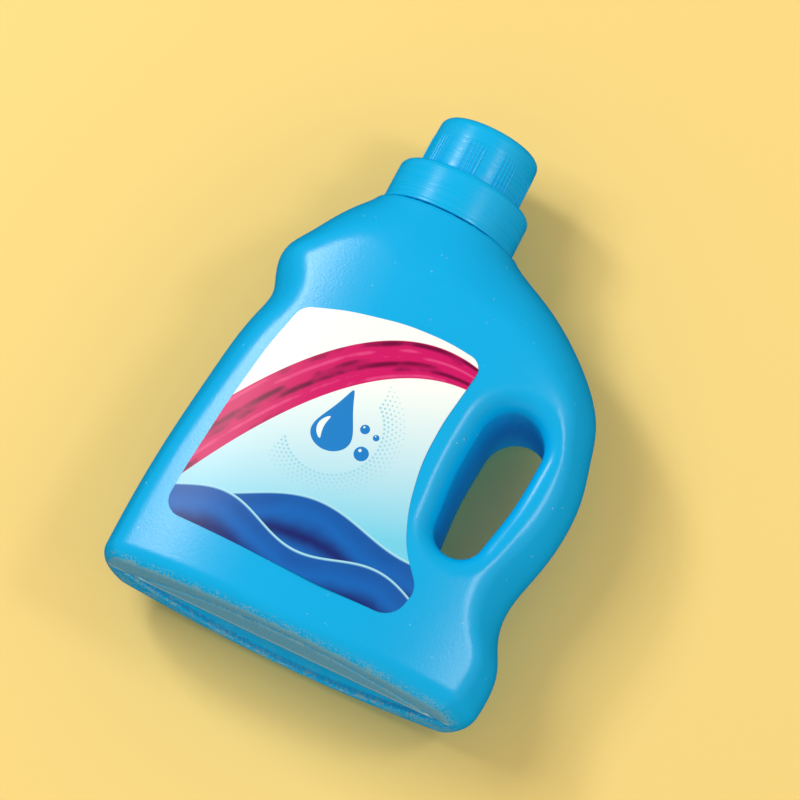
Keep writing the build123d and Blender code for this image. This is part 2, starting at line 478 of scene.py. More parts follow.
@dataclass
class BlownBody:
    """The blow-moulded body: flanks rolled round the front outline, two shallow panels, and a handle.

    Sizes are in millimetres. Every surface comes from one distance function, as the blown wall has no
    corner that air pressure couldn't round.
    """

    neck_x: float
    shoulder: float
    flank_radius: float = 26.0
    shoulder_start: float = 117.0
    collar_radius: float = 21.8
    panel_depth: float = 26.0
    panel_bow: float = 300.0
    crease_radius: float = 1.5
    foot_radius: float = 6.0
    foot_growth: float = 1.2
    rim_radius: float = 7.0
    hole_low: tuple[float, float, float] = (34.0, 51.2, 7.7)
    hole_high: tuple[float, float, float] = (35.6, 83.2, 9.7)
    hole_bow: float = 1.1
    hollow_depth: float = 2.0
    hollow_edge: float = 0.9
    groove: tuple[float, float, float] = (53.0, -15.5, 0.9)
    groove_depth: float = 0.9
    hollow: tuple[float, float, float] = (52.0, 18.5, 1.2)
    hollow_end: float = 0.4
    neck_radius: float = 15.4
    neck_top: float = 150.0
    wall: float = 1.2
    grid_reach: tuple[float, float] = (64.2, 27.5)
    cell: float = 1.2
    depth_cell: float = 1.0
    foot_cell: float = 0.6
    foot_grid_top: float = 9.0
    table_step: float = 0.5

    def __post_init__(self) -> None:
        """Works out the outline's distance table."""
        self.left = Edge([(-30, -62.2), (0, -62.2), (18, -62.1), (42.5, -60.9), (66.5, -58.4), (90, -54.5),
                          (98.5, -53.2), (103, -54.7), (108.5, -56.2), (114, -55.3), (119, -52.3),
                          (126.6, -47.7), (134.5, -42.0), (139.2, -38.3), (146, -37.0), (175, -37.0)])
        self.right = Edge([(-30, 59.5), (0, 60.6), (8, 61.7), (15, 62.0), (21.8, 60.9), (30, 57.1),
                           (37, 55.4), (43, 55.5), (52, 57.4), (63, 59.6), (73, 60.3), (82, 59.6),
                           (93.5, 56.8),
                           (106.5, 52.0), (115, 45.0), (123.4, 35.4), (132.1, 21.7), (138.8, 9.5),
                           (143, 6.6), (175, 6.6)])
        self.table_x = np.arange(-66, 66.1, self.table_step)
        self.table_z = np.arange(-4, 156.1, self.table_step)
        heights = np.arange(-30, 170.1, self.table_step)
        x, z = np.meshgrid(self.table_x, self.table_z, indexing="ij")
        table = np.full(x.shape, 1e9)
        for edge in (self.left, self.right):
            across = edge.at(heights)
            for k in range(len(heights) - 1):
                ax, az = across[k], heights[k]
                dx, dz = across[k + 1] - ax, heights[k + 1] - az
                share = np.clip(((x - ax) * dx + (z - az) * dz) / (dx * dx + dz * dz), 0, 1)
                table = np.minimum(table, (x - ax - share * dx) ** 2 + (z - az - share * dz) ** 2)
        inside = (x > self.left.at(z)) & (x < self.right.at(z))
        self.table = np.sqrt(table) * np.where(inside, 1, -1)

    def inset(self, x: np.ndarray, z: np.ndarray) -> np.ndarray:
        """How far inside the front outline each point lies.

        Args:
            x: Places along X.
            z: Heights.

        Returns:
            The distances, below 0 outside.
        """
        i = np.clip((x - self.table_x[0]) / self.table_step, 0, len(self.table_x) - 1.001)
        k = np.clip((z - self.table_z[0]) / self.table_step, 0, len(self.table_z) - 1.001)
        i0, k0 = i.astype(int), k.astype(int)
        fi, fz = i - i0, k - k0
        low = self.table[i0, k0] * (1 - fi) + self.table[i0 + 1, k0] * fi
        high = self.table[i0, k0 + 1] * (1 - fi) + self.table[i0 + 1, k0 + 1] * fi
        return low * (1 - fz) + high * fz

    def panel(self, x: np.ndarray) -> np.ndarray:
        """Half depth of the front and back panels.

        Args:
            x: Places along X.

        Returns:
            The half depths.
        """
        return self.panel_depth - x * x / self.panel_bow

    def hole(self, x: np.ndarray, z: np.ndarray) -> np.ndarray:
        """Distance to the handle hole: two rounds joined by slightly bowed sides.

        Args:
            x: Places along X.
            z: Heights.

        Returns:
            The distances, below 0 in the hole.
        """
        (x0, z0, r0), (x1, z1, r1) = self.hole_low, self.hole_high
        length = math.hypot(x1 - x0, z1 - z0)
        ux, uz = (x1 - x0) / length, (z1 - z0) / length
        along = (x - x0) * ux + (z - z0) * uz
        beside = np.abs((x - x0) * uz - (z - z0) * ux)
        lean = (r0 - r1) / length
        flat = math.sqrt(1 - lean * lean)
        side = -lean * beside + flat * along
        distance = beside * flat + along * lean - r0
        distance = np.where(side < 0, np.hypot(beside, along) - r0, distance)
        distance = np.where(side > flat * length, np.hypot(beside, along - length) - r1, distance)
        middle = (along - length / 2) / (length / 2 + 4)
        return distance - self.hole_bow * np.maximum(1 - middle ** 2, 0) ** 2

    def field(self, x: np.ndarray, y: np.ndarray, z: np.ndarray) -> np.ndarray:
        """Distance to the body, below 0 inside it.

        Args:
            x: Places along X.
            y: Places along Y.
            z: Heights.

        Returns:
            The distances.
        """
        depth = np.abs(y)
        rise = np.clip((z - self.shoulder_start) / (self.shoulder - self.shoulder_start), 0, 1.2)
        radius = self.flank_radius - (self.flank_radius - self.collar_radius) * rise
        flank = np.hypot(np.maximum(radius - self.inset(x, z), 0), y) - radius
        form = round_join(flank, (depth - self.panel(x)) * 0.97, self.crease_radius)
        form = round_join(form, -self.hole(x, z), self.rim_radius)
        form = round_join(form, -z, self.foot_radius + self.foot_growth * np.clip(x / 62, -1, 1))
        bow, front, half_width = self.groove
        groove = np.abs(y - front * (1 - (x / bow) ** 2)) * 0.95 - half_width + np.maximum(np.abs(x) - bow, 0)
        form = round_join(form, -round_join(groove, z - self.groove_depth, 0.4), 0.4)
        half, far, near = self.hollow
        bulge = 1 - (x / half) ** 2
        low = self.hollow_end + (near - self.hollow_end) * bulge
        high = self.hollow_end + (far - self.hollow_end) * bulge
        pocket = np.maximum(low - y, y - high) * 0.9
        form = round_join(form, -round_join(pocket, z - self.hollow_depth, 0.6), self.hollow_edge)
        form = np.maximum(form, z - self.shoulder - 0.2)
        neck = np.maximum(np.hypot(x - self.neck_x, y) - self.neck_radius, z - self.neck_top)
        return np.minimum(form, np.maximum(neck, self.shoulder - 6 - z))

    @staticmethod
    def neighbours(axis: int) -> tuple[tuple, tuple]:
        """Slices that pair each grid point with the next one.

        Args:
            axis: The axis that the pairs run along.

        Returns:
            The slices of the first and the second points.
        """
        first = [slice(None)] * 3
        second = [slice(None)] * 3
        first[axis] = slice(0, -1)
        second[axis] = slice(1, None)
        return tuple(first), tuple(second)

    def surface(self) -> tuple[np.ndarray, list]:
        """Meshes the distance function, with finer steps at the foot.

        Returns:
            The points and the quads, facing outwards.
        """
        reach_x, reach_y = self.grid_reach
        low_z = np.arange(-1.5 * self.foot_cell, self.foot_grid_top, self.foot_cell)
        high_z = np.arange(low_z[-1] + self.cell, self.neck_top + 2 * self.cell + 0.1, self.cell)
        axes = [np.arange(-reach_x, reach_x + 0.1, self.cell),
                np.arange(-reach_y, reach_y + 0.1, self.depth_cell),
                np.concatenate([low_z, high_z])]
        x, y, z = np.meshgrid(*axes, indexing="ij")
        value = self.field(x, y, z)
        inside = value < 0
        shape = [n - 1 for n in inside.shape]
        total = np.zeros(shape + [3])
        count = np.zeros(shape)
        grid = (x, y, z)
        for axis in range(3):
            first, second = self.neighbours(axis)
            cross = inside[first] != inside[second]
            gap = value[first] - value[second]
            share = np.where(cross, value[first] / np.where(np.abs(gap) < 1e-12, 1, gap), 0)
            place = [g[first] + (g[second] - g[first]) * share for g in grid]
            others = [a for a in range(3) if a != axis]
            for one in (0, 1):
                for two in (0, 1):
                    part = [slice(None)] * 3
                    part[others[0]] = slice(one, one + shape[others[0]])
                    part[others[1]] = slice(two, two + shape[others[1]])
                    part = tuple(part)
                    count += cross[part]
                    for a in range(3):
                        total[..., a] += np.where(cross[part], place[a][part], 0)
        used = count > 0
        number = np.full(shape, -1)
        number[used] = np.arange(used.sum())
        verts = total[used] / count[used][:, None]
        quads = []
        for axis in range(3):
            first, second = self.neighbours(axis)
            starts = inside[first]
            i, j, k = np.nonzero(starts != inside[second])
            flip = ~starts[i, j, k]
            cells = np.stack([i, j, k], 1)
            b, c = [(1, 2), (2, 0), (0, 1)][axis]
            ring = []
            for db, dc in ((-1, -1), (0, -1), (0, 0), (-1, 0)):
                shift = cells.copy()
                shift[:, b] += db
                shift[:, c] += dc
                ring.append(number[shift[:, 0], shift[:, 1], shift[:, 2]])
            ring = np.stack(ring, 1)
            ring[flip] = ring[flip][:, ::-1]
            quads.append(ring)
        return self.settle(verts), np.concatenate(quads).tolist()

    def settle(self, verts: np.ndarray) -> np.ndarray:
        """Moves points onto the surface along its slope.

        Args:
            verts: The points.

        Returns:
            The moved points.
        """
        step = 0.05
        for _ in range(3):
            x, y, z = verts.T
            value = self.field(x, y, z)
            slope = np.stack([
                self.field(x + step, y, z) - self.field(x - step, y, z),
                self.field(x, y + step, z) - self.field(x, y - step, z),
                self.field(x, y, z + step) - self.field(x, y, z - step),
            ], 1) / (2 * step)
            size = np.maximum((slope ** 2).sum(1), 0.25)
            move = np.clip(value / size, -0.4, 0.4)[:, None] * slope
            verts = verts - move
        verts[:, 2] = np.maximum(verts[:, 2], 0)
        return verts

    def build(self, material: bpy.types.Material) -> None:
        """Makes the body, opens its neck, gives it its wall and hands it on.

        Args:
            material: The body's finish.
        """
        verts, quads = self.surface()
        made = make_object("bottle_shell", verts, quads, 50.0)
        work = bmesh.new()
        work.from_mesh(made.data)
        bmesh.ops.recalc_face_normals(work, faces=work.faces)
        lid = [f for f in work.faces if f.calc_center_median().z > (self.neck_top - 0.4) * MM]
        bmesh.ops.delete(work, geom=lid, context="FACES")
        work.to_mesh(made.data)
        work.free()
        shell = made.modifiers.new("wall", "SOLIDIFY")
        shell.thickness = self.wall * MM
        shell.offset = -1
        finish_piece(made, Body.BOTTLE, "bottle_plastic", material, "bottle_body")


# ---------------------------------------------------------------- labels


def ring_sheet(name: str, outline: Points, depth, lift: float, thickness: float, side: int,
               rings: int = 40) -> bpy.types.Object:
    """Lays a thin closed sheet on a panel, inside an outline that its centre sees all of.

    Args:
        name: The piece's name.
        outline: Points of X and height, in order.
        depth: A function that gives the panel's half depth at X.
        lift: How far the sheet's face stands off the panel.
        thickness: How far its back lies behind its face.
        side: -1 for the front panel, 1 for the back panel.
        rings: Steps from the centre to the outline.

    Returns:
        The sheet.
    """
    edge = np.array(outline)
    centre = edge.mean(0)
    count = len(edge)
    flat = [centre]
    for ring in range(1, rings + 1):
        flat.extend(centre + (edge - centre) * ring / rings)
    flat = np.array(flat)
    away = depth(flat[:, 0])
    face = np.stack([flat[:, 0], side * (away + lift), flat[:, 1]], 1)
    back = np.stack([flat[:, 0], side * (away + lift - thickness), flat[:, 1]], 1)
    total = len(flat)
    faces = []
    for layer in (0, total):
        for index in range(count):
            after = (index + 1) % count
            faces.append((layer, layer + 1 + index, layer + 1 + after))
            for ring in range(rings - 1):
                low = layer + 1 + ring * count
                faces.append((low + index, low + count + index, low + count + after, low + after))
    last = 1 + (rings - 1) * count
    for index in range(count):
        after = (index + 1) % count
        faces.append((last + index, last + after, total + last + after, total + last + index))
    made = make_object(name, np.concatenate([face, back]), faces, 60.0)
    tidy_mesh(made)
    return made


def smooth_loop(corners: list[tuple[float, float, float]], steps: int = 8, spacing: float = 1.5) -> Points:
    """A closed outline with rounded corners and evenly spaced points along its straight runs."""
    turns = rounded(corners, steps)
    points = []
    for index, start in enumerate(turns):
        end = turns[(index + 1) % len(turns)]
        pieces = max(1, int(math.dist(start, end) / spacing))
        for piece in range(pieces):
            share = piece / pieces
            points.append((start[0] + (end[0] - start[0]) * share, start[1] + (end[1] - start[1]) * share))
    return points


@dataclass
class Labels:
    """The two film labels and the raised print on the front one. Sizes in millimetres."""

    body: BlownBody
    lift: float = 0.14
    film: float = 0.16
    ink: float = 0.03
    emblem: tuple[float, float] = (-13.0, 62.0)
    back_size: tuple[float, float] = (60.0, 68.0)
    back_centre: tuple[float, float] = (-14.0, 54.0)
    back_corner: float = 5.0
    drop_radius: float = 7.5
    bubbles: tuple[tuple[float, float, float], ...] = ((11.0, -4.0, 2.3), (8.6, 3.4, 1.5), (12.8, 2.4, 1.0))

    def front_outline(self) -> Points:
        """The front label's outline: it leans with the body, and curves in beside the handle hole."""
        corners = [(-49.6, 18.6, 6.0), (-48.8, 34.0, 80.0), (-46.8, 56.0, 90.0), (-43.6, 78.0, 90.0),
                   (-39.8, 93.2, 5.5), (-26.0, 97.2, 80.0), (-8.0, 100.4, 70.0), (6.0, 101.0, 70.0),
                   (18.2, 99.7, 5.0), (17.2, 91.0, 50.0), (15.5, 78.0, 60.0), (15.2, 64.0, 60.0),
                   (18.2, 49.0, 50.0), (22.8, 38.0, 30.0), (31.2, 28.2, 6.5), (28.8, 16.9, 7.5),
                   (5.0, 15.8, 90.0), (-16.0, 16.6, 90.0)]
        return smooth_loop(corners)

    def emblem_drop(self, blue: bpy.types.Material, white: bpy.types.Material) -> None:
        """Prints a plain drop with a curved glint and three bubbles beside it.

        Args:
            blue: The ink of the drop and the bubbles.
            white: The ink of the glints.
        """
        x, z = self.emblem
        lift = self.lift + self.ink
        loop = []
        for step in range(72):
            angle = 2 * math.pi * step / 72
            pull = 0.5 * (1 + math.sin(angle))
            wide = self.drop_radius * math.cos(angle) * (1 - 0.75 * pull ** 2)
            tall = self.drop_radius * math.sin(angle) * (1 + 0.75 * pull ** 3)
            loop.append((x + wide, z + tall))
        shapes = [("emblem_drop", loop, blue, lift)]
        glint = []
        for step in range(40):
            angle = 2 * math.pi * step / 40
            bend = 0.10 * (self.drop_radius * 0.5 * math.cos(angle)) ** 2
            glint.append((x - 0.55 * self.drop_radius + 1.0 * math.sin(angle) + bend,
                          z - 1.0 + 0.5 * self.drop_radius * math.cos(angle)))
        shapes.append(("emblem_glint", glint, white, lift + self.ink))
        for index, (dx, dz, r) in enumerate(self.bubbles):
            bubble = [(x + dx + r * math.cos(a), z + dz + r * math.sin(a))
                      for a in (2 * math.pi * k / 36 for k in range(36))]
            spark = [(x + dx - 0.35 * r + 0.22 * r * math.cos(a), z + dz + 0.35 * r + 0.22 * r * math.sin(a))
                     for a in (2 * math.pi * k / 16 for k in range(16))]
            shapes.append((f"emblem_bubble_{index + 1}", bubble, blue, lift))
            shapes.append((f"emblem_spark_{index + 1}", spark, white, lift + self.ink))
        for name, outline, ink, height in shapes:
            made = ring_sheet(name, outline, self.body.panel, height, 2 * self.ink, -1, 6)
            finish_piece(made, Body.BOTTLE, "label_film", ink)

    def dots(self, ink: bpy.types.Material) -> None:
        """Prints arcs of dots beside the emblem, smaller and fainter outwards.

        Args:
            ink: The dots' ink.
        """
        inputs = {
            "Rings": ("NodeSocketInt", 6), "Dots in a ring": ("NodeSocketInt", 38),
            "First radius": ("NodeSocketFloat", 15.0 * MM), "Ring step": ("NodeSocketFloat", 1.2 * MM),
            "First angle": ("NodeSocketFloat", math.radians(-145)),
            "Sweep": ("NodeSocketFloat", math.radians(200)),
            "Dot radius": ("NodeSocketFloat", 0.4 * MM), "Centre X": ("NodeSocketFloat", self.emblem[0] * MM),
            "Centre Z": ("NodeSocketFloat", self.emblem[1] * MM),
            "Stand-off": ("NodeSocketFloat", (self.lift + self.ink) * MM),
        }

        def grow(tree: bpy.types.NodeTree, given: dict) -> bpy.types.NodeSocket:
            """One flat dot on each point of the rings, laid on the panel."""
            index = add_node(tree, "GeometryNodeInputIndex").outputs[0]
            ring = math_chain(tree, index, ("DIVIDE", given["Dots in a ring"]), ("FLOOR", None))
            number = math_chain(tree, index, ("MODULO", given["Dots in a ring"]))
            angle = math_chain(tree, ring, ("MULTIPLY", 0.5), ("ADD", number),
                               ("DIVIDE", given["Dots in a ring"]), ("MULTIPLY", given["Sweep"]),
                               ("ADD", given["First angle"]))
            radius = math_chain(tree, ring, ("MULTIPLY", given["Ring step"]), ("ADD", given["First radius"]))
            x = math_chain(tree, angle, ("COSINE", None), ("MULTIPLY", radius), ("ADD", given["Centre X"]))
            z = math_chain(tree, angle, ("SINE", None), ("MULTIPLY", radius), ("ADD", given["Centre Z"]))
            bow = math_chain(tree, x, ("MULTIPLY", x), ("DIVIDE", self.body.panel_bow * MM),
                             ("SUBTRACT", self.body.panel_depth * MM), ("SUBTRACT", given["Stand-off"]))
            place = add_node(tree, "ShaderNodeCombineXYZ", {}, {0: x, 1: bow, 2: z})
            total = math_chain(tree, given["Rings"], ("MULTIPLY", given["Dots in a ring"]))
            points = add_node(tree, "GeometryNodePoints", {}, {"Count": total, "Position": place.outputs[0]})
            disc = add_node(tree, "GeometryNodeMeshCylinder", {"Vertices": 10, "Depth": 1.5 * self.ink * MM},
                            {"Radius": given["Dot radius"]})
            small = fade(tree, ring, 0.0, 6.0, 1.0, 0.35)
            size = add_node(tree, "ShaderNodeCombineXYZ", {2: 1.0}, {0: small, 1: small})
            return add_node(tree, "GeometryNodeInstanceOnPoints", {"Rotation": (math.pi / 2, 0, 0)},
                            {"Points": points.outputs[0], "Instance": disc.outputs[0],
                             "Scale": size.outputs[0]}).outputs[0]

        made = repeat("halftone_dots", inputs, grow, ink)
        finish_piece(made, Body.BOTTLE, "label_film", ink)

    def build(self, film: bpy.types.Material, back_film: bpy.types.Material, inks: dict) -> None:
        """Lays the labels and prints the emblem and its arcs of dots.

        Args:
            film: The printed front film.
            back_film: The back film.
            inks: The plain inks by name.
        """
        front = ring_sheet("front_label_film", self.front_outline(), self.body.panel, self.lift,
                           self.film, -1)
        finish_piece(front, Body.BOTTLE, "label_film", film, "front_label")
        self.emblem_drop(inks["drop"], inks["glint"])
        self.dots(inks["dots"])
        width, height = self.back_size
        x, z = self.back_centre
        left, right = x - width / 2, x + width / 2
        low, high = z - height / 2, z + height / 2
        corner = self.back_corner
        loop = smooth_loop([(left, low, corner), (left, high, corner),
                            (right, high, corner), (right, low, corner)])
        back = ring_sheet("back_label_film", loop, self.body.panel, self.lift, self.film, 1)
        finish_piece(back, Body.BOTTLE, "label_film", back_film, "back_label")


# ---------------------------------------------------------------- closure


@dataclass
class Closure:
    """The pour collar, its ring, spout and thread, the seal and the ribbed cap. Sizes in millimetres."""

    neck_x: float
    collar_base: float
    deck: float
    seat: float
    ring_top: float
    cap_base: float
    cap_top: float
    seal_base: float
    collar_radius: float = 21.8
    collar_top_radius: float = 21.5
    collar_edge: float = 5.0
    lip: float = 0.15
    lip_height: float = 1.0
    lip_slope: float = 0.35
    wall: float = 1.4
    cap_room: float = 0.3
    plug_step: float = 0.9
    plug_drop: float = 2.0
    plug_wall: float = 1.4
    floor_lap: float = 0.2
    ring_radius: float = 14.6
    spout_radius: float = 9.0
    spout_wall: float = 1.0
    spout_tilt: float = 20.0
    spout_slot: float = 7.0
    floor_base: float = 145.6
    cap_radius: float = 16.55
    cap_top_radius: float = 16.3
    cap_edge: float = 4.8
    cap_bore: float = 15.3
    dose_radius: float = 12.6
    rib_height: float = 0.24
    rib_width: float = 0.72
    rib_below_top: float = 5.6
    rib_groups: int = 9
    ribs_in_group: int = 5
    rib_step: float = 4.4
    rib_turn: float = -1.75
    thread_base: float = 1.6
    cap_thread_rise: float = 2.0
    ring_thread_turn: float = 250.0
    cap_thread_turn: float = 200.0
    thread_starts: int = 3
    thread_lead: float = 12.0
    thread_height: float = 0.45
    thread_width: float = 1.5

    def collar(self, plastic: bpy.types.Material) -> None:
        """The collar's skirt, deck, cap well and screw ring, in one turned piece.

        Args:
            plastic: The closure's finish.
        """
        r, top = self.collar_radius, self.collar_top_radius
        wall, deck = self.wall, self.deck
        lip_top = self.collar_base + self.lip_height
        seat = self.cap_radius + self.rib_height + self.cap_room
        bore = self.ring_radius - wall
        floor = self.floor_base
        plug_bore = bore - self.plug_step
        plug = plug_bore + self.plug_wall
        floor_hole = self.spout_radius - self.floor_lap
        outline = rounded([
            (r - wall, self.collar_base, 0.3), (r, self.collar_base, 0.3),
            (r, lip_top, 0.2), (r - self.lip, lip_top + self.lip_slope, 0.2),
            (top, deck, self.collar_edge), (seat, deck, 0.25), (seat, self.seat, 0.15),
            (self.ring_radius, self.seat, 0.2), (self.ring_radius, self.ring_top, 0.4),
            (bore, self.ring_top, 0.4), (bore, self.seat, 0.4), (plug_bore, self.seat - self.plug_drop, 0.6),
            (plug_bore, floor + wall, 0.4), (floor_hole, floor + wall, 0.1), (floor_hole, floor, 0.1),
            (plug, floor, 0.3), (plug, self.seat - wall, 0.2),
            (top - wall, deck - wall, self.collar_edge - wall),
        ], 6)
        made = lathe("collar_shell", outline, self.neck_x, 180)
        finish_piece(made, Body.BOTTLE, "cap_plastic", plastic, "pour_collar")

    def spout(self, plastic: bpy.types.Material) -> None:
        """The pouring spout: a tube with a slanted lip and an open back.

        Args:
            plastic: The closure's finish.
        """
        outer, inner = self.spout_radius, self.spout_radius - self.spout_wall
        open_half = math.asin(self.spout_slot / 2 / outer)
        turns, rows = 60, 16
        lip = self.deck + 12.0
        verts = []
        faces = []
        for r in (outer, inner):
            for turn in range(turns + 1):
                angle = open_half + (2 * math.pi - 2 * open_half) * turn / turns
                top = lip - (math.cos(angle) + 1) * r * math.tan(math.radians(self.spout_tilt))
                for row in range(rows + 1):
                    z = self.floor_base + (top - self.floor_base) * row / rows
                    verts.append((self.neck_x + r * math.cos(angle), r * math.sin(angle), z))
        size = rows + 1
        sheet = (turns + 1) * size
        for layer in (0, sheet):
            for turn in range(turns):
                for row in range(rows):
                    a = layer + turn * size + row
                    faces.append((a, a + size, a + size + 1, a + 1))
        for turn in range(turns):
            for row in (0, rows):
                a = turn * size + row
                faces.append((a, a + size, sheet + a + size, sheet + a))
        for turn in (0, turns):
            for row in range(rows):
                a = turn * size + row
                faces.append((a, a + 1, sheet + a + 1, sheet + a))
        made = make_object("collar_spout", verts, faces)
        tidy_mesh(made)
        edge = made.modifiers.new("edge", "BEVEL")
        edge.width = 0.25 * MM
        edge.segments = 2
        edge.limit_method = "ANGLE"
        finish_piece(made, Body.BOTTLE, "cap_plastic", plastic)

    def thread(self, name: str, body: Body, root: float, crest: float, base: float, turn: float,
               plastic: bpy.types.Material) -> None:
        """The right-hand thread starts on the ring or in the cap's bore.

        Args:
            name: The piece's name.
            body: The body that it rides on.
            root: Radius that the ridges stand on.
            crest: Radius of their crests.
            base: Height of their starts above the deck.
            turn: How far each goes round, in degrees.
            plastic: The closure's finish.
        """
        verts = []
        faces = []
        for index in range(self.thread_starts):
            angle = 2 * math.pi * index / self.thread_starts
            points, rings = helix_ridge(self.neck_x, root, crest, self.deck + base, angle, math.radians(turn),
                                        self.thread_lead, self.thread_width)
            offset = len(verts)
            verts.extend(points)
            faces.extend(tuple(offset + i for i in ring) for ring in rings)
        made = make_object(name, verts, faces)
        tidy_mesh(made)
        finish_piece(made, body, "cap_plastic", plastic)

    def cap(self, plastic: bpy.types.Material) -> None:
        """The cap's turned shell: skirt, dosing cup and the step that holds the seal.

        Args:
            plastic: The closure's finish.
        """
        step = self.seal_base + 1.1
        roof = self.cap_top - 1.5
        outline = rounded([
            (self.cap_bore, self.cap_base, 0.25), (self.cap_radius, self.cap_base, 0.25),
            (self.cap_top_radius + 0.1, self.cap_top - self.rib_below_top, 1.0),
            (self.cap_top_radius - 0.15, self.cap_top, self.cap_edge), (0.0, self.cap_top, 0.0),
            (0.0, roof, 0.0), (self.dose_radius, roof, 3.0), (self.dose_radius, step, 0.2),
            (self.cap_bore, step, 0.15),
        ], 10)
        made = lathe("cap_shell", outline, self.neck_x, 180)
        finish_piece(made, Body.CAP, "cap_plastic", plastic, "screw_cap")

    def ribs(self, plastic: bpy.types.Material) -> None:
        """The cap's grip ribs, in groups with smooth skin between them.

        Args:
            plastic: The closure's finish.
        """
        low, high = self.cap_base + 0.3, self.cap_top - self.rib_below_top - 0.4
        half, stations = self.rib_width / 2, 10
        section = [(-half, -0.35), (-half * 0.7, 0.1), (0.0, self.rib_height),
                   (half * 0.7, 0.1), (half, -0.35)]
        verts = []
        faces = []
        for station in range(stations + 1):
            share = station / stations
            taper = min(1.0, (1 - share) * 5) ** 0.5
            lean = (self.cap_top_radius + 0.1 - self.cap_radius) * share
            for across, out in section:
                proud = out * taper if out > 0 else out
                width = across * (0.6 + 0.4 * taper)
                verts.append((self.cap_radius + lean + proud, width, low + (high - low) * share))
        size = len(section)
        for station in range(stations):
            for index in range(size):
                after = (index + 1) % size
                a = station * size
                faces.append((a + index, a + after, a + size + after, a + size + index))
        faces.append(tuple(range(size)))
        faces.append(tuple(stations * size + index for index in range(size)))
        rib = make_object("grip_rib", verts, faces)
        tidy_mesh(rib)
        inputs = {
            "Groups": ("NodeSocketInt", self.rib_groups),
            "Ribs in a group": ("NodeSocketInt", self.ribs_in_group),
            "Rib step": ("NodeSocketFloat", math.radians(self.rib_step)),
            "Axis X": ("NodeSocketFloat", self.neck_x * MM), "Rib": ("NodeSocketObject", rib),
        }

        def grow(tree: bpy.types.NodeTree, given: dict) -> bpy.types.NodeSocket:
            """One rib on the axis for each place, turned to its angle."""
            index = add_node(tree, "GeometryNodeInputIndex").outputs[0]
            group = math_chain(tree, index, ("DIVIDE", given["Ribs in a group"]), ("FLOOR", None),
                               ("DIVIDE", given["Groups"]), ("MULTIPLY", 2 * math.pi))
            member = math_chain(tree, index, ("MODULO", given["Ribs in a group"]),
                                ("MULTIPLY", given["Rib step"]), ("ADD", group), ("ADD", self.rib_turn))
            total = math_chain(tree, given["Groups"], ("MULTIPLY", given["Ribs in a group"]))
            place = add_node(tree, "ShaderNodeCombineXYZ", {}, {0: given["Axis X"]})
            points = add_node(tree, "GeometryNodePoints", {}, {"Count": total, "Position": place.outputs[0]})
            shape = add_node(tree, "GeometryNodeObjectInfo", {}, {"Object": given["Rib"]})
            turn = add_node(tree, "ShaderNodeCombineXYZ", {}, {2: member})
            return add_node(tree, "GeometryNodeInstanceOnPoints", {},
                            {"Points": points.outputs[0], "Instance": shape.outputs["Geometry"],
                             "Rotation": turn.outputs[0]}).outputs[0]

        made = repeat("cap_grip_ribs", inputs, grow, plastic)
        bpy.data.objects.remove(rib)
        finish_piece(made, Body.CAP, "cap_plastic", plastic)

    def seal(self, foam: bpy.types.Material) -> None:
        """The loose foam ring on the screw ring's rim.

        Args:
            foam: The seal's finish.
        """
        low, high = self.seal_base, self.seal_base + 1.0
        outline = rounded([(self.dose_radius, low, 0.2), (self.cap_bore - 0.1, low, 0.2),
                           (self.cap_bore - 0.1, high, 0.2), (self.dose_radius, high, 0.2)], 3)
        made = lathe("seal_foam_ring", outline, self.neck_x, 120)
        finish_piece(made, Body.SEAL, "seal_foam", foam, "seal_ring")

    def build(self, plastic: bpy.types.Material, foam: bpy.types.Material) -> None:
        """Makes the collar, its spout and thread, the threaded and ribbed cap, and the seal.

        Args:
            plastic: The finish of the collar and the cap.
            foam: The seal's finish.
        """
        self.collar(plastic)
        self.spout(plastic)
        self.thread("collar_thread", Body.BOTTLE, self.ring_radius, self.ring_radius + self.thread_height,
                    self.thread_base, self.ring_thread_turn, plastic)
        self.thread("cap_thread", Body.CAP, self.cap_bore, self.cap_bore - self.thread_height,
                    self.thread_base + self.cap_thread_rise, self.cap_thread_turn, plastic)
        self.cap(plastic)
        self.ribs(plastic)
        self.seal(foam)


# ---------------------------------------------------------------- finishes


def new_material(name: str) -> tuple[bpy.types.Material, bpy.types.NodeTree, bpy.types.Node]:
    """A material with a plain shader, its tree, and the shader's node."""
    material = bpy.data.materials.new(name)
    material.use_nodes = True
    tree = material.node_tree
    return material, tree, tree.nodes["Principled BSDF"]


